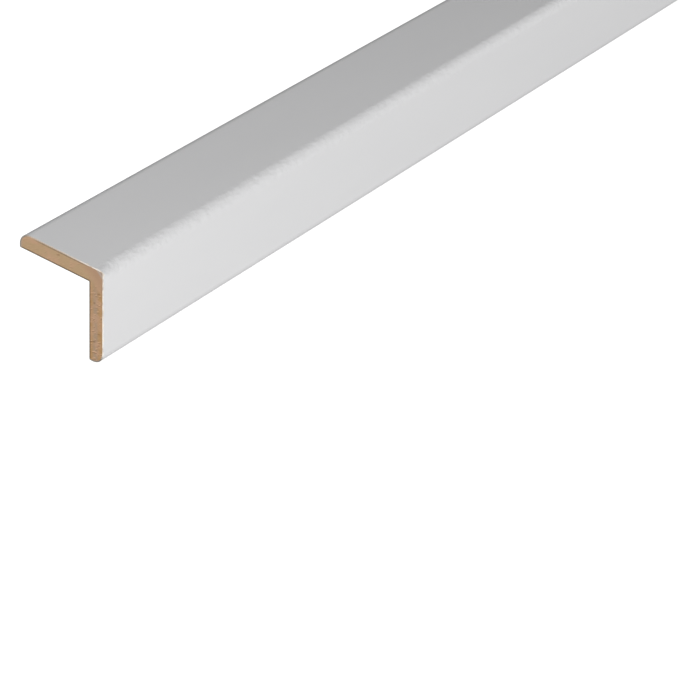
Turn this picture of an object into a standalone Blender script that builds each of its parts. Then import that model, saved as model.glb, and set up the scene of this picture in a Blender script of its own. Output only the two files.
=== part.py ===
"""Corner moulding: a square-cut length of equal-leg MDF angle, with white foil glued over its outer faces
and round both leg tips.

Metres, +Z up. The length runs along Y. One leg lies on top and reaches towards -X, the other hangs down
towards -Z. The origin is the middle of the inner corner line, where the two glued faces meet.
"""

from math import radians

import bmesh
import bpy

# Sizes of the whole moulding, over the foil
LENGTH = 0.310
LEG_WIDTH = 0.030
WALL = 0.005
CORNER_RADIUS = 0.0033
TIP_RADIUS = 0.0039
TIP_FLAT = 0.0005

# The foil, the glue line under it, and the round on its trimmed edges with the flat left beside it
FOIL_THICKNESS = 0.0004
GLUE_GAP = 0.0003
SKIN = FOIL_THICKNESS + GLUE_GAP
TRIM_RADIUS = 0.0003
TRIM_FLAT = 0.0001

# Flats in each round, and the angle past which a turn is an edge
ARC_FLATS = 12
TRIM_FLATS = 4
EDGE_ANGLE = radians(30.0)

# The finish of each piece: linear colour and roughness
MDF_COLOUR = (0.445, 0.305, 0.181)
MDF_ROUGHNESS = 0.85
FOIL_COLOUR = (0.80, 0.80, 0.79)
FOIL_ROUGHNESS = 0.38

NEAR_END = -LENGTH / 2
TOLERANCE = 1e-6


def clear_scene():
    for old in list(bpy.data.objects):
        bpy.data.objects.remove(old, do_unlink=True)


def finish(name, colour, roughness):
    material = bpy.data.materials.new(name)
    material.use_nodes = True
    shader = material.node_tree.nodes["Principled BSDF"]
    shader.inputs["Base Color"].default_value = (*colour, 1.0)
    shader.inputs["Roughness"].default_value = roughness
    shader.inputs["Metallic"].default_value = 0.0
    return material


def outside_corners(depth):
    """The outside of the section at this depth under the foil's face, as X and Z, from tip to tip."""
    face = WALL - depth
    tip = WALL - LEG_WIDTH + depth
    return {
        "top_leg_edge": (tip, 0.0),
        "top_leg_tip": (tip, face),
        "corner": (face, face),
        "side_leg_tip": (face, tip),
        "side_leg_edge": (0.0, tip),
    }


def add_near_points(shape, corners):
    return [shape.verts.new((x, NEAR_END, z)) for x, z in corners]


def round_long_edge(shape, corner, radius, flats=ARC_FLATS):
    """Rounds the edge that runs the whole length at this corner of the section."""
    x, z = corner
    along = [
        edge
        for edge in shape.edges
        if all(abs(end.co.x - x) < TOLERANCE and abs(end.co.z - z) < TOLERANCE for end in edge.verts)
    ]
    bmesh.ops.bevel(
        shape,
        geom=along,
        offset=radius,
        offset_type="OFFSET",
        segments=flats,
        profile=0.5,
        affect="EDGES",
    )


def round_outside(shape, corners, depth):
    """Rounds the outer corner and both tips, about the same centres at every depth."""
    tip_radius = min(TIP_RADIUS, WALL - TIP_FLAT)
    round_long_edge(shape, corners["corner"], CORNER_RADIUS - depth)
    round_long_edge(shape, corners["top_leg_tip"], tip_radius - depth)
    round_long_edge(shape, corners["side_leg_tip"], tip_radius - depth)


def add_object(name, shape, material):
    mesh = bpy.data.meshes.new(name)
    shape.to_mesh(mesh)
    shape.free()
    mesh.shade_smooth()
    mesh.set_sharp_from_angle(angle=EDGE_ANGLE)
    mesh.materials.append(material)
    piece = bpy.data.objects.new(name, mesh)
    bpy.context.scene.collection.objects.link(piece)


def add_mdf_core():
    """The board, machined to an angle: rounded outside, with flat inner faces and a sharp inner corner."""
    corners = outside_corners(SKIN)
    inner_corner = (0.0, 0.0)
    shape = bmesh.new()
    near_face = shape.faces.new(add_near_points(shape, [*corners.values(), inner_corner]))
    swept = bmesh.ops.extrude_face_region(shape, geom=[near_face])["geom"]
    far_points = [item for item in swept if isinstance(item, bmesh.types.BMVert)]
    bmesh.ops.translate(shape, verts=far_points, vec=(0.0, LENGTH, 0.0))
    bmesh.ops.recalc_face_normals(shape, faces=shape.faces)
    round_outside(shape, corners, SKIN)
    add_object("mdf_core", shape, finish("bare MDF", MDF_COLOUR, MDF_ROUGHNESS))


def add_white_foil():
    """A sheet bent over the outside, thickened inwards, and trimmed flush with the inner faces."""
    corners = outside_corners(0.0)
    shape = bmesh.new()
    near = add_near_points(shape, corners.values())
    far = [shape.verts.new((point.co.x, point.co.y + LENGTH, point.co.z)) for point in near]
    for here in range(len(near) - 1):
        shape.faces.new((near[here], near[here + 1], far[here + 1], far[here]))
    round_outside(shape, corners, 0.0)
    bmesh.ops.solidify(shape, geom=shape.faces[:], thickness=FOIL_THICKNESS)
    bmesh.ops.recalc_face_normals(shape, faces=shape.faces)
    trim_radius = min(TRIM_RADIUS, FOIL_THICKNESS - TRIM_FLAT)
    round_long_edge(shape, corners["top_leg_edge"], trim_radius, TRIM_FLATS)
    round_long_edge(shape, corners["side_leg_edge"], trim_radius, TRIM_FLATS)
    add_object("white_foil", shape, finish("white foil", FOIL_COLOUR, FOIL_ROUGHNESS))


clear_scene()
add_mdf_core()
add_white_foil()
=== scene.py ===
"""Corner moulding: a square-cut length of MDF angle with white foil glued round its outside.

Metres, +Z up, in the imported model's own frame. The length runs along Y. One leg lies on top and reaches
towards -X, the other hangs down towards -Z, and the inner corner line is the Y axis. Both pieces are
modelled here at the size of the CAD nodes that they stand for, and then given their finishes.
"""
from math import atan2, cos, radians, sin, sqrt
import bmesh
import bpy
from mathutils import Matrix, Vector


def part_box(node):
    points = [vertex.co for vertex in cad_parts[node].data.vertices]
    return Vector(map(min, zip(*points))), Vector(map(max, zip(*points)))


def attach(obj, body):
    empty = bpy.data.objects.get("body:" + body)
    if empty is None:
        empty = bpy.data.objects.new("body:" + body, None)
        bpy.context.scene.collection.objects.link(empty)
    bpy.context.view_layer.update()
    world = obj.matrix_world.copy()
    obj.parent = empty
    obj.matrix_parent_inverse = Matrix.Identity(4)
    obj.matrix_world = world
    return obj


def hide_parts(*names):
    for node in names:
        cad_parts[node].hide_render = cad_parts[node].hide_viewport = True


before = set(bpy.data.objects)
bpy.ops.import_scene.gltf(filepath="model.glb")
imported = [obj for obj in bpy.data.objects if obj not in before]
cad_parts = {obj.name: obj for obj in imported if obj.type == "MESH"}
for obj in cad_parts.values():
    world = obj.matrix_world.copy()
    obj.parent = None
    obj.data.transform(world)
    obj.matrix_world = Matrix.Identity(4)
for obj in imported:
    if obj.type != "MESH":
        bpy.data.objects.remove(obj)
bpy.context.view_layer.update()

# Sizes taken from the frame: the foil's outer faces, the leg tips and the two cut ends
foil_low, foil_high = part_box("white_foil")
OUTSIDE = foil_high.x
TIP = foil_low.x
NEAR_END = foil_low.y
FAR_END = foil_high.y
LENGTH = FAR_END - NEAR_END
MIDDLE_Y = (NEAR_END + FAR_END) / 2

# Sizes of the section, the same as in the CAD
CORNER_RADIUS = 0.0033
TIP_RADIUS = 0.0039
FOIL = 0.0004
# The round on the foil's trimmed edges, a little tighter than in the CAD, and the steps in each round
TRIM_RADIUS = 0.00028
ROUND_SEGMENTS = 28
TRIM_SEGMENTS = 5
# The glue line, too thin to see, keeps the two surfaces from lying in one plane
GLUE = 0.00002
CORE_FACE = OUTSIDE - FOIL - GLUE
CORE_TIP = TIP + FOIL + GLUE
CORE_CORNER_RADIUS = CORNER_RADIUS - FOIL - GLUE
CORE_TIP_RADIUS = TIP_RADIUS - FOIL - GLUE
# The sawn ends of the core: spacing of the mesh that carries their relief, how deep the saw left it, how
# long its streaks are for their thickness, and the way they run across the section
SAWN_GRID = 0.0002
SAWN_DEPTH = 0.00003
FIBRE_SIZE = 0.00025
FIBRE_STRETCH = 4.0
SAW_TURN = radians(23.7)
RELIEF_DETAIL = 3
# The few deeper streaks of the near end, where a bundle of fibres tore out: X, Z and half length
TEAR_DEPTH = 0.00014
TEAR_HEIGHT = 0.00016
TEARS = (
    (0.0031, -0.0028, 0.0007),
    (0.0017, -0.0061, 0.0006),
    (0.0033, -0.0155, 0.0006),
    (0.0017, -0.0185, 0.0007),
    (0.0031, -0.0191, 0.0007),
    (-0.0111, 0.0034, 0.0008),
)
# The foil's cut ends: the strip beside each cut, the squares that it is cut into, and how deep and how fine
# the cut wanders
CUT_STRIP = 0.0005
CUT_GRID = 0.0005
CUT_DEPTH = 0.00005
CUT_WANDER = 0.0008
# How far the saw chipped the white off the foil's face
CHIP = 0.0005
# The saw also drew the outer corner out: the round's centre, the tighter rounds that are left at the very
# ends, over what length the corner changes, and in how many steps
CORNER_CENTRE = OUTSIDE - CORNER_RADIUS
FOIL_END_RADIUS = 0.00115
CORE_END_RADIUS = 0.0012
DRAWN_LENGTH = 0.0045
DRAWN_STEPS = 9
# Angle past which a turn is an edge, and how much of a normal has to lie along an axis to count as facing it
EDGE_ANGLE = radians(30.0)
FACING = 0.5
TOLERANCE = 1e-6

# The camera: its turn, height and roll, its distance and its lens, and the photo's pixel where the outer
# corner meets the near end
CAMERA_AZIMUTH = radians(35.202)
CAMERA_ELEVATION = radians(34.352)
CAMERA_ROLL = radians(4.074)
CAMERA_DISTANCE = 0.6416
SENSOR = 36.0
FRAME_PIXELS = 696.0
FOCAL_PIXELS = 2465.8
CORNER_PIXEL = (103.517, 272.311)

# The light: one big soft lamp, left of the camera and lower, turned to a place along the piece, and a room of
# even light that is brighter in two directions and darker in two: strength, narrowness, azimuth and elevation
LAMP_AIM = -0.0346
LAMP_AZIMUTH = radians(20.0)
LAMP_ELEVATION = radians(18.2)
LAMP_DISTANCE = 0.8615
LAMP_SIZE = 1.2
LAMP_WATTS = 8.63
ROOM_LIGHT = 0.739
ROOM_CHANGES = (
    (1.18, 6.85, radians(91.5), radians(-46.5)),
    (-0.729, 0.39, radians(-85.7), radians(-29.5)),
    (7.2, 45.0, radians(-115.0), radians(-47.0)),
    (-0.477, 5.05, radians(89.3), radians(-55.4)),
)
# The room's own floor, far below the piece, and the height of its walls
FLOOR_HEIGHT = -4.0
FLOOR_SIZE = 10.0
WALL_HEIGHT = 8.0

# Linear colours
MDF_TOP = (0.459, 0.316, 0.184, 1.0)
MDF_SIDE = (0.434, 0.259, 0.119, 1.0)
MDF_DARK = (0.270, 0.155, 0.080, 1.0)
MDF_LIGHT = (0.660, 0.420, 0.265, 1.0)
MDF_PINK = (0.530, 0.325, 0.210, 1.0)
MDF_GREY = (0.378, 0.266, 0.180, 1.0)
MDF_SKIN = (0.130, 0.095, 0.055, 1.0)
MDF_CORNER = (0.430, 0.270, 0.170, 1.0)
MDF_PULLED = (0.440, 0.345, 0.285, 1.0)
FOIL_WHITE = (0.862, 0.862, 0.868, 1.0)
FOIL_SHADE = (0.835, 0.835, 0.842, 1.0)
FOIL_CUT = (0.930, 0.870, 0.780, 1.0)
FOIL_CUT_DULL = (0.560, 0.460, 0.370, 1.0)
# Painted shade for the foil's cut edge round the tips
FOIL_CUT_TIP_SHADE = (0.270, 0.240, 0.205, 1.0)
FLOOR_WHITE = (0.90, 0.90, 0.90, 1.0)

# The board's patterns: the size of each along X, Y and Z, where the two kinds of streak are taken from, and
# from which value of each pattern to which it sets in
PATCH_SIZE = (0.004, 0.020, 0.003)
PATCH_SPAN = (0.46, 0.60)
GRAIN_SIZE = (0.0008, 0.0008, 0.00026)
PALE_GRAIN_SPAN = (0.52, 0.75)
DARK_GRAIN_SPAN = (0.48, 0.26)
STREAK_SIZE = (0.0015, 0.0015, 0.00034)
STREAK_SPAN = (0.63, 0.70)
BUNDLE_SHIFT = (0.060, 0.060, 0.060)
GAP_SHIFT = (0.0601, 0.060, 0.0597)
# How much they show: patches, grain on the top leg and the side leg, streaks on the sawn and the machined
# faces, and what is left of the streaks on the top leg
PATCH_SHARE = 0.60
GRAIN_SHARES = (0.11, 0.23)
SAWN_STREAKS = 0.88
MACHINED_STREAKS = 0.22
TOP_LEG_STREAKS = 0.30
# Where the board changes colour. First the height at which the top leg gives way to the side leg. Then, as
# shares of the way from the inner face to the foil, the grey middle, the dense skin at the foil, and the dark
# rim at the inner face, which is dense skin with painted shade of its edge laid over it
SIDE_LEG_FROM = (0.001, -0.003)
GREY_FROM = (0.20, 0.40)
GREY_TO = (0.75, 0.55)
INNER_SKIN_AND_SHADE = (0.095, 0.070)
OUTER_SKIN = (0.90, 0.96)
# The outer skin shows in broken stretches along the top leg, short of its tip, and hardly on the side leg
OUTER_SKIN_FROM = (-0.020, -0.017)
BREAK_SPAN = (0.35, 0.55)
BREAK_SHARES = (0.4, 0.8)
SIDE_SKIN_SHARE = 0.1
# Painted shade down in the torn streaks, darkest where they are deepest
TEAR_PAINTED_SHADE = 0.6
# The corner's own colour and its pulled fibre, both by the sum of X and Z, and the rim of the top leg's tip
CORNER_FROM = (0.0, 0.0055)
PULLED_FROM = (0.0068, 0.0074)
TIP_RIM_FROM = (TIP + 0.0012, TIP + 0.0006)
TIP_RIM_SHARE = 0.6
# The machined faces: how far their colour leans to the skin's, and the cutter's ripple, whose crests stand
# 2 pi / (20 * RIPPLE_SCALE) apart
MACHINED_SKIN_SHARE = 0.10
RIPPLE_SCALE = 60.0
RIPPLE_DISTORTION = 0.6

# The foil's patterns: its shade, its orange peel, the board's unevenness under it, the chips along its cuts,
# and the waver of its rounded corner
CLOUD_SIZE = (0.014, 0.040, 0.014)
PEEL_SIZE = (0.0009, 0.0011, 0.0009)
BOARD_SIZE = (0.006, 0.009, 0.006)
BOARD_SHIFT = (0.066, 0.099, 0.066)
FLAKE_SIZE = (0.0016, 0.0006, 0.0016)
FLAKE_SPAN = (0.50, 0.65)
WAVER_SIZE = (0.0016, 0.0022, 0.0016)
WAVER_FROM = (0.0005, 0.0030)
# The foil's cut edge: the blade's drag and grit, where it turns dull, and where painted shade darkens it
# towards the tips
DRAG_SIZE = (0.0022, 0.0022, 0.0022)
DRAG_SPAN = (0.52, 0.36)
DRAG_SHARE = 0.8
GRIT_SIZE = (0.00015, 0.00015, 0.00015)
TOP_LEG_DULL_FROM = (0.0035, -0.010)
TOP_LEG_DULL_SHARE = 0.95
CORNER_DULL_FROM = (0.0037, 0.0043)
CORNER_DULL_SHARE = 0.8
TIP_SHADE_FROM = (TIP + 0.0036, TIP + 0.002)

# Roughness at the two ends of the span in which nearly all of a pattern lies, and shine
PATTERN_SPAN = (0.3, 0.7)
SAWN_ROUGHNESS = (0.95, 0.82)
SAWN_SHINE = 0.25
MACHINED_ROUGHNESS = (0.82, 0.70)
MACHINED_SHINE = 0.3
FOIL_ROUGHNESS = (0.40, 0.47)
FOIL_SHINE = 0.4
CUT_ROUGHNESS = (0.75, 0.60)
# Heights of the finest relief, which is in the finishes alone
SAWN_GRAIN = 0.00002
SAWN_BUNDLES = 0.00003
RIPPLE = 0.000006
MACHINED_GRAIN = 0.000012
MACHINED_BUNDLES = 0.00001
BOARD = 0.000015
PEEL = 0.000003
WAVER = 0.0003
GRIT = 0.00001


def facing(azimuth, elevation):
    """The direction that stands at this turn and height as seen from the object, azimuth 0 being -Y."""
    return Vector((sin(azimuth) * cos(elevation), -cos(azimuth) * cos(elevation), sin(elevation)))


def only(obj):
    """Leaves this object alone selected and active."""
    bpy.ops.object.select_all(action="DESELECT")
    obj.select_set(True)
    bpy.context.view_layer.objects.active = obj


def edit(obj):
    """Opens this object in edit mode."""
    only(obj)
    bpy.ops.object.mode_set(mode="EDIT")


def close():
    """Leaves edit mode."""
    bpy.ops.object.mode_set(mode="OBJECT")


def pick(kind, test):
    """In edit mode, leaves selected the faces, edges or vertices that pass the test."""
    bpy.ops.mesh.select_mode(type=kind)
    bpy.ops.mesh.select_all(action="DESELECT")
    shape = bmesh.from_edit_mesh(bpy.context.object.data)
    parts = {"VERT": shape.verts, "EDGE": shape.edges, "FACE": shape.faces}[kind]
    for part in parts:
        if test(part):
            part.select_set(True)
    bmesh.update_edit_mesh(bpy.context.object.data)


def middle(part):
    """The middle of a face or an edge."""
    return sum((corner.co for corner in part.verts), Vector()) / len(part.verts)


def pull(x=0.0, y=0.0, z=0.0):
    """Extrudes what is selected and moves the new part."""
    bpy.ops.mesh.extrude_region_move(TRANSFORM_OT_translate={"value": (x, y, z)})


def runs_along(edge, x, z):
    """Whether this edge runs down the length at one point of the section."""
    return all(abs(end.co.x - x) < TOLERANCE and abs(end.co.z - z) < TOLERANCE for end in edge.verts)


def round_edge(x, z, radius, segments):
    """Rounds the long edge that stands at one point of the section."""
    pick("EDGE", lambda edge: runs_along(edge, x, z))
    bpy.ops.mesh.bevel(offset=radius, offset_type="OFFSET", segments=segments, profile=0.5, affect="EDGES")


def on_end(face):
    """Whether this face looks along the length, out of one of the two ends."""
    return abs(face.normal.y) > FACING


def beside_cut(face):
    """Whether this face lies within the fine strip along one of the two cuts."""
    return abs(middle(face).y - MIDDLE_Y) > LENGTH / 2 - CUT_STRIP


def grid_up(test, low, high, spacing):
    """Cuts the faces that pass the test along a grid of small squares laid over the section."""
    count = round((high - low) / spacing)
    for axis in (Vector((1.0, 0.0, 0.0)), Vector((0.0, 0.0, 1.0))):
        for step in range(1, count):
            pick("FACE", test)
            bpy.ops.mesh.bisect(plane_co=axis * (low + (high - low) * step / count), plane_no=axis)


def end_rings():
    """Cuts rings of edges round the section over the last few millimetres of both ends."""
    for step in range(1, DRAWN_STEPS + 1):
        inwards = DRAWN_LENGTH * step / DRAWN_STEPS
        for y in (NEAR_END + inwards, FAR_END - inwards):
            bpy.ops.mesh.select_all(action="SELECT")
            bpy.ops.mesh.bisect(plane_co=(0.0, y, 0.0), plane_no=(0.0, 1.0, 0.0))


def roughen(obj, end, depth, size, stretch):
    """Presses a fine random relief into the vertices of one end, never outwards."""
    only(obj)
    inwards = 1.0 if end < MIDDLE_Y else -1.0
    group = obj.vertex_groups.new(name="end")
    group.add([v.index for v in obj.data.vertices if abs(v.co.y - end) < TOLERANCE], 1.0, "REPLACE")
    bpy.ops.object.empty_add(location=(0.0, 0.0, 0.0))
    guide = bpy.context.object
    guide.scale = (stretch, 1.0, 1.0)
    guide.rotation_euler = (0.0, -SAW_TURN, 0.0)
    bpy.context.view_layer.update()
    clouds = bpy.data.textures.new("relief", "CLOUDS")
    clouds.noise_scale = size
    clouds.noise_depth = RELIEF_DETAIL
    only(obj)
    bpy.ops.object.modifier_add(type="DISPLACE")
    relief = obj.modifiers[-1]
    relief.texture = clouds
    relief.texture_coords = "OBJECT"
    relief.texture_coords_object = guide
    relief.vertex_group = group.name
    relief.direction = "Y"
    relief.mid_level = 0.0
    relief.strength = inwards * depth
    bpy.ops.object.modifier_apply(modifier=relief.name)
    obj.vertex_groups.clear()
    bpy.data.objects.remove(guide)
    bpy.data.textures.remove(clouds)


def tear_out(x, z, half_length):
    """Sinks one short streak of the near end, where fibres tore out under the saw."""

    def torn(vertex):
        across = vertex.co.x - x
        up = vertex.co.z - z
        along = (across * cos(SAW_TURN) + up * sin(SAW_TURN)) / half_length
        aside = (up * cos(SAW_TURN) - across * sin(SAW_TURN)) / TEAR_HEIGHT
        return vertex.co.y < NEAR_END + CUT_STRIP and along ** 2 + aside ** 2 < 1.0

    pick("VERT", torn)
    bpy.ops.transform.translate(value=(0.0, TEAR_DEPTH, 0.0))


def mdf_angle():
    """The core: a square bar, drawn out into two legs, rounded, and roughened where it was sawn."""
    bpy.ops.mesh.primitive_cube_add(size=1.0, location=(CORE_FACE / 2, MIDDLE_Y, CORE_FACE / 2))
    core = bpy.context.object
    core.name = "mdf_angle"
    core.scale = (CORE_FACE, LENGTH, CORE_FACE)
    bpy.ops.object.transform_apply()
    edit(core)
    pick("FACE", lambda face: face.normal.x < -FACING)
    pull(x=CORE_TIP)
    pick("FACE", lambda face: face.normal.z < -FACING and middle(face).x > 0.0)
    pull(z=CORE_TIP)
    round_edge(CORE_FACE, CORE_FACE, CORE_CORNER_RADIUS, ROUND_SEGMENTS)
    round_edge(CORE_TIP, CORE_FACE, CORE_TIP_RADIUS, ROUND_SEGMENTS)
    round_edge(CORE_FACE, CORE_TIP, CORE_TIP_RADIUS, ROUND_SEGMENTS)
    end_rings()
    close()
    draw_out_corner(core, CORE_CORNER_RADIUS, CORE_END_RADIUS)
    edit(core)
    grid_up(on_end, CORE_TIP, CORE_FACE, SAWN_GRID)
    close()
    for end in (NEAR_END, FAR_END):
        roughen(core, end, SAWN_DEPTH, FIBRE_SIZE, FIBRE_STRETCH)
    edit(core)
    for tear in TEARS:
        tear_out(*tear)
    close()
    bpy.ops.object.shade_smooth_by_angle(angle=EDGE_ANGLE)
    return core


def reach_of_round(angle, radius, tighter):
    """How far a tighter round of the same corner lies from the first round's centre, at this angle."""
    shift = radius - tighter
    flat = radius / max(cos(angle), sin(angle))
    if flat * min(cos(angle), sin(angle)) < shift:
        return flat
    lean = shift * (cos(angle) + sin(angle))
    return lean + sqrt(lean ** 2 - 2.0 * shift ** 2 + tighter ** 2)


def draw_out_corner(obj, radius, end_radius):
    """Tightens the outer corner's round little by little towards both ends."""
    only(obj)
    groups = [obj.vertex_groups.new(name=axis) for axis in "XZ"]
    for vertex in obj.data.vertices:
        across = vertex.co.x - CORNER_CENTRE
        up = vertex.co.z - CORNER_CENTRE
        share = 1.0 - (LENGTH / 2 - abs(vertex.co.y - MIDDLE_Y)) / DRAWN_LENGTH
        if across > TOLERANCE and up > TOLERANCE and share > 0.0:
            angle = atan2(up, across)
            tighter = radius + (end_radius - radius) * share
            lift = reach_of_round(angle, radius, tighter) / radius - 1.0
            groups[0].add([vertex.index], lift * cos(angle), "REPLACE")
            groups[1].add([vertex.index], lift * sin(angle), "REPLACE")
    for axis in "XZ":
        bpy.ops.object.modifier_add(type="DISPLACE")
        drawing = obj.modifiers[-1]
        drawing.vertex_group = axis
        drawing.direction = axis
        drawing.mid_level = 0.0
        drawing.strength = radius
        bpy.ops.object.modifier_apply(modifier=drawing.name)
    obj.vertex_groups.clear()


def cut_square(obj):
    """Brings every point of each end back into one flat cut."""
    edit(obj)
    for end in (NEAR_END, FAR_END):
        pick("VERT", lambda vertex: abs(vertex.co.y - end) < CUT_STRIP / 2)
        bpy.ops.transform.resize(value=(1.0, 0.0, 1.0), center_override=(0.0, end, 0.0))
    close()


def foil_wrap():
    """The foil: a strip bent over the outside and both tips, thickened inwards and trimmed flush."""
    bpy.ops.mesh.primitive_plane_add(size=1.0, location=((TIP + OUTSIDE) / 2, MIDDLE_Y, OUTSIDE))
    foil = bpy.context.object
    foil.name = "foil_wrap"
    foil.scale = (OUTSIDE - TIP, LENGTH, 1.0)
    bpy.ops.object.transform_apply()
    edit(foil)
    pick("EDGE", lambda edge: runs_along(edge, OUTSIDE, OUTSIDE))
    pull(z=TIP - OUTSIDE)
    pull(x=-OUTSIDE)
    pick("EDGE", lambda edge: runs_along(edge, TIP, OUTSIDE))
    pull(z=-OUTSIDE)
    bpy.ops.mesh.select_all(action="SELECT")
    bpy.ops.mesh.normals_make_consistent(inside=False)
    round_edge(OUTSIDE, OUTSIDE, CORNER_RADIUS, ROUND_SEGMENTS)
    round_edge(TIP, OUTSIDE, TIP_RADIUS, ROUND_SEGMENTS)
    round_edge(OUTSIDE, TIP, TIP_RADIUS, ROUND_SEGMENTS)
    end_rings()
    close()
    draw_out_corner(foil, CORNER_RADIUS, FOIL_END_RADIUS)
    bpy.ops.object.modifier_add(type="SOLIDIFY")
    wall = foil.modifiers[-1]
    wall.thickness = FOIL
    wall.offset = -1.0
    wall.use_even_offset = True
    bpy.ops.object.modifier_apply(modifier=wall.name)
    cut_square(foil)
    edit(foil)
    round_edge(TIP, 0.0, TRIM_RADIUS, TRIM_SEGMENTS)
    round_edge(0.0, TIP, TRIM_RADIUS, TRIM_SEGMENTS)
    grid_up(beside_cut, TIP, OUTSIDE, CUT_GRID)
    close()
    for end in (NEAR_END, FAR_END):
        roughen(foil, end, CUT_DEPTH, CUT_WANDER, 1.0)
    only(foil)
    bpy.ops.object.shade_smooth_by_angle(angle=EDGE_ANGLE)
    return foil


def studio_floor():
    """A plain pale floor far below the piece, turned up into walls and closed over at the top."""
    bpy.ops.mesh.primitive_plane_add(size=FLOOR_SIZE, location=(0.0, 0.0, FLOOR_HEIGHT))
    floor = bpy.context.object
    floor.name = "studio_floor"
    bpy.ops.object.transform_apply()
    edit(floor)
    pick("EDGE", lambda edge: True)
    pull(z=WALL_HEIGHT)
    bpy.ops.mesh.edge_face_add()
    close()
    floor.visible_diffuse = False
    floor.visible_glossy = False
    floor.visible_shadow = False
    return floor


class Finish:
    """A material in the making, with short ways to add its nodes."""

    def __init__(self, name):
        self.material = bpy.data.materials.new(name)
        self.material.use_nodes = True
        self.tree = self.material.node_tree
        self.shader = self.tree.nodes["Principled BSDF"]
        self.place = self.node("ShaderNodeTexCoord").outputs["Object"]
        self.axes = self.node("ShaderNodeSeparateXYZ", {"Vector": self.place}).outputs

    def node(self, kind, inputs=None, **settings):
        """Adds a node with these settings, and these values or links on its inputs."""
        new = self.tree.nodes.new(kind)
        for name, value in settings.items():
            setattr(new, name, value)
        for name, value in (inputs or {}).items():
            self.feed(new.inputs[name], value)
        return new

    def feed(self, socket, value):
        """Links another node's output to this input, or sets its value."""
        if isinstance(value, bpy.types.NodeSocket):
            self.tree.links.new(value, socket)
        else:
            socket.default_value = value

    def set(self, **values):
        """Feeds the shader's inputs, their names written with underscores."""
        for name, value in values.items():
            self.feed(self.shader.inputs[name.replace("_", " ")], value)

    def noise(self, size, detail=3.0, roughness=0.55, turn=0.0, shift=(0.0, 0.0, 0.0)):
        """A random pattern of this size along X, Y and Z, turned up from X and shifted."""
        place = {"Vector": self.place, "Scale": size, "Rotation": (0.0, -turn, 0.0), "Location": shift}
        spread = self.node("ShaderNodeMapping", place, vector_type="TEXTURE")
        values = {"Vector": spread.outputs["Vector"], "Scale": 1.0, "Detail": detail, "Roughness": roughness}
        return self.node("ShaderNodeTexNoise", values).outputs[0]

    def range(self, value, low, high, to_low=0.0, to_high=1.0):
        """Stretches this value from one range to another, and stops at its ends."""
        values = {"Value": value, "From Min": low, "From Max": high, "To Min": to_low, "To Max": to_high}
        return self.node("ShaderNodeMapRange", values).outputs["Result"]

    def math(self, operation, *values):
        """One sum on values or sockets."""
        return self.node("ShaderNodeMath", dict(enumerate(values)), operation=operation).outputs[0]

    def mix(self, factor, low, high):
        """From one colour to the other by the factor."""
        return self.node("ShaderNodeMix", {0: factor, 6: low, 7: high}, data_type="RGBA").outputs[2]

    def bump(self, *layers):
        """Raises the surface by each pattern and the height that goes with it, in turn."""
        normal = None
        for pattern, height in layers:
            values = {"Height": pattern, "Distance": height, "Strength": 1.0}
            if normal is not None:
                values["Normal"] = normal
            normal = self.node("ShaderNodeBump", values).outputs["Normal"]
        self.set(Normal=normal)


def behind_cut(finish):
    """How far a point lies behind the nearer of the two cuts."""
    return finish.math("SUBTRACT", LENGTH / 2, finish.math("ABSOLUTE", finish.axes["Y"]))


def mdf_depth(finish):
    """How deep a point lies between the machined inner face, 0, and the foil, 1, in either leg."""
    through = finish.math("MAXIMUM", finish.axes["X"], finish.axes["Z"])
    return finish.range(through, 0.0, CORE_FACE)


def mdf_fibre(finish, turn, streaks):
    """The board's colour: yellower in the top leg, greyer amid the side leg, with patches and streaks."""
    patches = finish.noise(PATCH_SIZE, detail=2.0)
    grain = finish.noise(GRAIN_SIZE, detail=3.0, roughness=0.6, turn=turn)
    bundles = finish.noise(STREAK_SIZE, detail=1.0, turn=turn, shift=BUNDLE_SHIFT)
    gaps = finish.noise(STREAK_SIZE, detail=1.0, turn=turn, shift=GAP_SHIFT)
    depth = mdf_depth(finish)
    on_side = finish.range(finish.axes["Z"], *SIDE_LEG_FROM)
    grey = finish.math("MULTIPLY", finish.range(depth, *GREY_FROM), finish.range(depth, *GREY_TO))
    colour = finish.mix(on_side, MDF_TOP, MDF_SIDE)
    colour = finish.mix(finish.math("MULTIPLY", grey, on_side), colour, MDF_GREY)
    colour = finish.mix(finish.range(patches, *PATCH_SPAN, 0.0, PATCH_SHARE), colour, MDF_PINK)
    faint = finish.range(on_side, 0.0, 1.0, *GRAIN_SHARES)
    strong = finish.range(on_side, 0.0, 1.0, TOP_LEG_STREAKS * streaks, streaks)
    colour = finish.mix(finish.range(grain, *PALE_GRAIN_SPAN, 0.0, faint), colour, MDF_LIGHT)
    colour = finish.mix(finish.range(grain, *DARK_GRAIN_SPAN, 0.0, faint), colour, MDF_DARK)
    colour = finish.mix(finish.range(bundles, *STREAK_SPAN, 0.0, strong), colour, MDF_LIGHT)
    colour = finish.mix(finish.range(gaps, *STREAK_SPAN, 0.0, strong), colour, MDF_DARK)
    return colour, grain, bundles, on_side


def outer_skin(finish, bundles, on_side):
    """How much of the dense skin shows under the foil."""
    broken = finish.range(bundles, *BREAK_SPAN, *BREAK_SHARES)
    on_top = finish.math("MULTIPLY", finish.range(finish.axes["X"], *OUTER_SKIN_FROM), broken)
    share = finish.range(on_side, 0.0, 1.0, on_top, SIDE_SKIN_SHARE)
    return finish.math("MULTIPLY", finish.range(mdf_depth(finish), *OUTER_SKIN), share)


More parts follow.
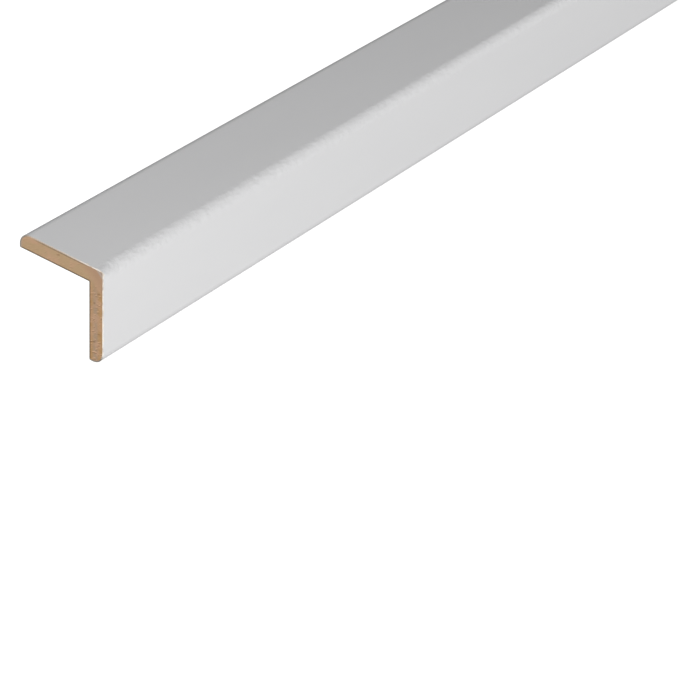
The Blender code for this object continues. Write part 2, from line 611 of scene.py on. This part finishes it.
def sawn_mdf():
    """The cut ends: open fibre, darker where it is dense at the faces, with painted shade along the inner
    faces' edge and down in the tears.
    """
    finish = Finish("sawn_mdf")
    colour, grain, bundles, on_side = mdf_fibre(finish, SAW_TURN, SAWN_STREAKS)
    # Dense skin at the inner face, darkened further as painted shade of its edge
    colour = finish.mix(finish.range(mdf_depth(finish), *INNER_SKIN_AND_SHADE), colour, MDF_SKIN)
    colour = finish.mix(outer_skin(finish, bundles, on_side), colour, MDF_SKIN)
    # Painted shade: darker the deeper a point lies behind the cut, down in the torn streaks
    torn = finish.range(behind_cut(finish), SAWN_DEPTH, TEAR_DEPTH, 0.0, TEAR_PAINTED_SHADE)
    colour = finish.mix(torn, colour, MDF_DARK)
    towards_corner = finish.math("ADD", finish.axes["X"], finish.axes["Z"])
    colour = finish.mix(finish.range(towards_corner, *CORNER_FROM), colour, MDF_CORNER)
    colour = finish.mix(finish.range(towards_corner, *PULLED_FROM), colour, MDF_PULLED)
    rim = finish.range(finish.axes["X"], *TIP_RIM_FROM, 0.0, TIP_RIM_SHARE)
    colour = finish.mix(rim, colour, MDF_PULLED)
    finish.set(Base_Color=colour, Roughness=finish.range(grain, *PATTERN_SPAN, *SAWN_ROUGHNESS))
    finish.set(Specular_IOR_Level=SAWN_SHINE)
    finish.bump((grain, SAWN_GRAIN), (bundles, SAWN_BUNDLES))
    return finish.material


def machined_mdf():
    """The long inner faces: cut smooth, with the faint even ripple that a turning cutter leaves."""
    finish = Finish("machined_mdf")
    colour, grain, bundles, _ = mdf_fibre(finish, 0.0, MACHINED_STREAKS)
    ripple = finish.node(
        "ShaderNodeTexWave",
        {"Vector": finish.place, "Scale": RIPPLE_SCALE, "Distortion": RIPPLE_DISTORTION, "Detail": 1.0},
        wave_type="BANDS",
        bands_direction="Y",
    ).outputs["Fac"]
    colour = finish.mix(MACHINED_SKIN_SHARE, colour, MDF_SKIN)
    finish.set(Base_Color=colour, Roughness=finish.range(grain, *PATTERN_SPAN, *MACHINED_ROUGHNESS))
    finish.set(Specular_IOR_Level=MACHINED_SHINE)
    finish.bump((ripple, RIPPLE), (grain, MACHINED_GRAIN), (bundles, MACHINED_BUNDLES))
    return finish.material


def corner_waver(finish):
    """The slight unevenness of the foil's round, which makes the edge of the light along it waver."""
    on_round = finish.range(finish.math("MINIMUM", finish.axes["X"], finish.axes["Z"]), *WAVER_FROM)
    around_zero = finish.math("SUBTRACT", finish.noise(WAVER_SIZE, detail=2.0), 0.5)
    return finish.math("MULTIPLY", around_zero, on_round)


def satin_foil():
    """The foil's face: white, satin, with a faint orange peel, and chipped along the cuts."""
    finish = Finish("satin_foil")
    cloud = finish.noise(CLOUD_SIZE, detail=2.0)
    peel = finish.noise(PEEL_SIZE, detail=2.0)
    board = finish.noise(BOARD_SIZE, detail=1.0, shift=BOARD_SHIFT)
    flakes = finish.noise(FLAKE_SIZE, detail=3.0)
    chipped = finish.math("LESS_THAN", behind_cut(finish), finish.range(flakes, *FLAKE_SPAN, 0.0, CHIP))
    colour = finish.mix(cloud, FOIL_SHADE, FOIL_WHITE)
    colour = finish.mix(chipped, colour, FOIL_CUT)
    finish.set(Base_Color=colour, Roughness=finish.range(peel, *PATTERN_SPAN, *FOIL_ROUGHNESS))
    finish.set(Specular_IOR_Level=FOIL_SHINE)
    finish.bump((board, BOARD), (peel, PEEL), (corner_waver(finish), WAVER))
    return finish.material


def cut_foil():
    """The foil's cut edge: cream, dull where the blade dragged fibre over it, and darkest round the tips,
    where shade is painted on.
    """
    finish = Finish("cut_foil")
    x, z = finish.axes["X"], finish.axes["Z"]
    drag = finish.noise(DRAG_SIZE, detail=3.0)
    grit = finish.noise(GRIT_SIZE, detail=2.0)
    dragged = finish.range(drag, *DRAG_SPAN, 0.0, DRAG_SHARE)
    on_top = finish.range(x, *TOP_LEG_DULL_FROM, 0.0, TOP_LEG_DULL_SHARE)
    corner = finish.range(finish.math("MINIMUM", x, z), *CORNER_DULL_FROM, 0.0, CORNER_DULL_SHARE)
    dull = finish.math("MAXIMUM", finish.math("MAXIMUM", dragged, on_top), corner)
    # Painted shade: the cut edge turns dark towards both leg tips
    tips = finish.math("MAXIMUM", finish.range(x, *TIP_SHADE_FROM), finish.range(z, *TIP_SHADE_FROM))
    colour = finish.mix(dull, FOIL_CUT, FOIL_CUT_DULL)
    colour = finish.mix(tips, colour, FOIL_CUT_TIP_SHADE)
    finish.set(Base_Color=colour, Roughness=finish.range(grit, *PATTERN_SPAN, *CUT_ROUGHNESS))
    finish.bump((grit, GRIT))
    return finish.material


def pale_floor():
    """The floor's paint: white, with a glow of its own, so that it shows no shadow."""
    finish = Finish("pale_floor")
    finish.set(Base_Color=FLOOR_WHITE, Roughness=1.0)
    finish.set(Emission_Color=FLOOR_WHITE, Emission_Strength=1.0)
    return finish.material


def dress(obj, face_finish, end_finish):
    """Gives the piece one finish on its long faces and another on its cut ends."""
    obj.data.materials.append(face_finish)
    obj.data.materials.append(end_finish)
    for face in obj.data.polygons:
        face.material_index = int(on_end(face))


def soft_lamp():
    """A big soft lamp that looks at the nearer half."""
    towards = facing(LAMP_AZIMUTH, LAMP_ELEVATION)
    lamp = bpy.data.lights.new("soft_lamp", "AREA")
    lamp.shape = "SQUARE"
    lamp.size = LAMP_SIZE
    lamp.energy = LAMP_WATTS
    lamp_object = bpy.data.objects.new("soft_lamp", lamp)
    lamp_object.rotation_euler = towards.to_track_quat("Z", "Y").to_euler()
    lamp_object.location = Vector((0.0, LAMP_AIM, 0.0)) + LAMP_DISTANCE * towards
    lamp_object.visible_camera = False
    bpy.context.scene.collection.objects.link(lamp_object)


def pale_room():
    """Even light from all round, made brighter and darker towards the directions of ROOM_CHANGES."""
    room = bpy.data.worlds.new("pale_room")
    room.use_nodes = True
    tree = room.node_tree
    background = tree.nodes["Background"]
    background.inputs["Color"].default_value = (1.0, 1.0, 1.0, 1.0)
    direction = tree.nodes.new("ShaderNodeTexCoord").outputs["Generated"]
    light = tree.nodes.new("ShaderNodeValue").outputs[0]
    light.default_value = ROOM_LIGHT
    for strength, narrowness, azimuth, elevation in ROOM_CHANGES:
        towards = tree.nodes.new("ShaderNodeVectorMath")
        towards.operation = "DOT_PRODUCT"
        towards.inputs[1].default_value = facing(azimuth, elevation)
        tree.links.new(direction, towards.inputs[0])
        value = towards.outputs["Value"]
        # Half of one plus the cosine runs from 0, straight away from the direction, to 1, straight towards it
        shaping = (("MULTIPLY", 0.5), ("ADD", 0.5), ("POWER", narrowness), ("MULTIPLY", strength))
        for operation, second in shaping:
            step = tree.nodes.new("ShaderNodeMath")
            step.operation = operation
            step.inputs[1].default_value = second
            tree.links.new(value, step.inputs[0])
            value = step.outputs[0]
        total = tree.nodes.new("ShaderNodeMath")
        total.operation = "ADD"
        tree.links.new(light, total.inputs[0])
        tree.links.new(value, total.inputs[1])
        light = total.outputs[0]
    tree.links.new(light, background.inputs["Strength"])
    bpy.context.scene.world = room


def photo_camera():
    """The camera stands where the photo's long edges and the outline of the cut end put it."""
    right = Vector((cos(CAMERA_AZIMUTH), sin(CAMERA_AZIMUTH), 0.0))
    back = facing(CAMERA_AZIMUTH, CAMERA_ELEVATION)
    up = back.cross(right)
    camera_x = cos(CAMERA_ROLL) * right + sin(CAMERA_ROLL) * up
    camera_y = cos(CAMERA_ROLL) * up - sin(CAMERA_ROLL) * right
    corner = Vector((OUTSIDE, NEAR_END, OUTSIDE))
    per_pixel = CAMERA_DISTANCE / FOCAL_PIXELS
    across = (CORNER_PIXEL[0] - FRAME_PIXELS / 2) * per_pixel
    above = (FRAME_PIXELS / 2 - CORNER_PIXEL[1]) * per_pixel
    place = corner + CAMERA_DISTANCE * back - across * camera_x - above * camera_y
    lens = bpy.data.cameras.new("photo_camera")
    lens.sensor_width = SENSOR
    lens.lens = FOCAL_PIXELS * SENSOR / FRAME_PIXELS
    camera = bpy.data.objects.new("photo_camera", lens)
    camera.matrix_world = Matrix.Translation(place) @ Matrix((camera_x, camera_y, back)).transposed().to_4x4()
    bpy.context.scene.collection.objects.link(camera)
    bpy.context.scene.camera = camera


def plain_colours():
    """The picture shows the light as it is, with no film curve."""
    bpy.context.scene.view_settings.view_transform = "Standard"
    bpy.context.scene.view_settings.look = "None"


photo_camera()
plain_colours()
pale_room()
soft_lamp()
floor = studio_floor()
floor.data.materials.append(pale_floor())

core = mdf_angle()
dress(core, machined_mdf(), sawn_mdf())
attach(core, "root")
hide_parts("mdf_core")

foil = foil_wrap()
dress(foil, satin_foil(), cut_foil())
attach(foil, "root")
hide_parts("white_foil")
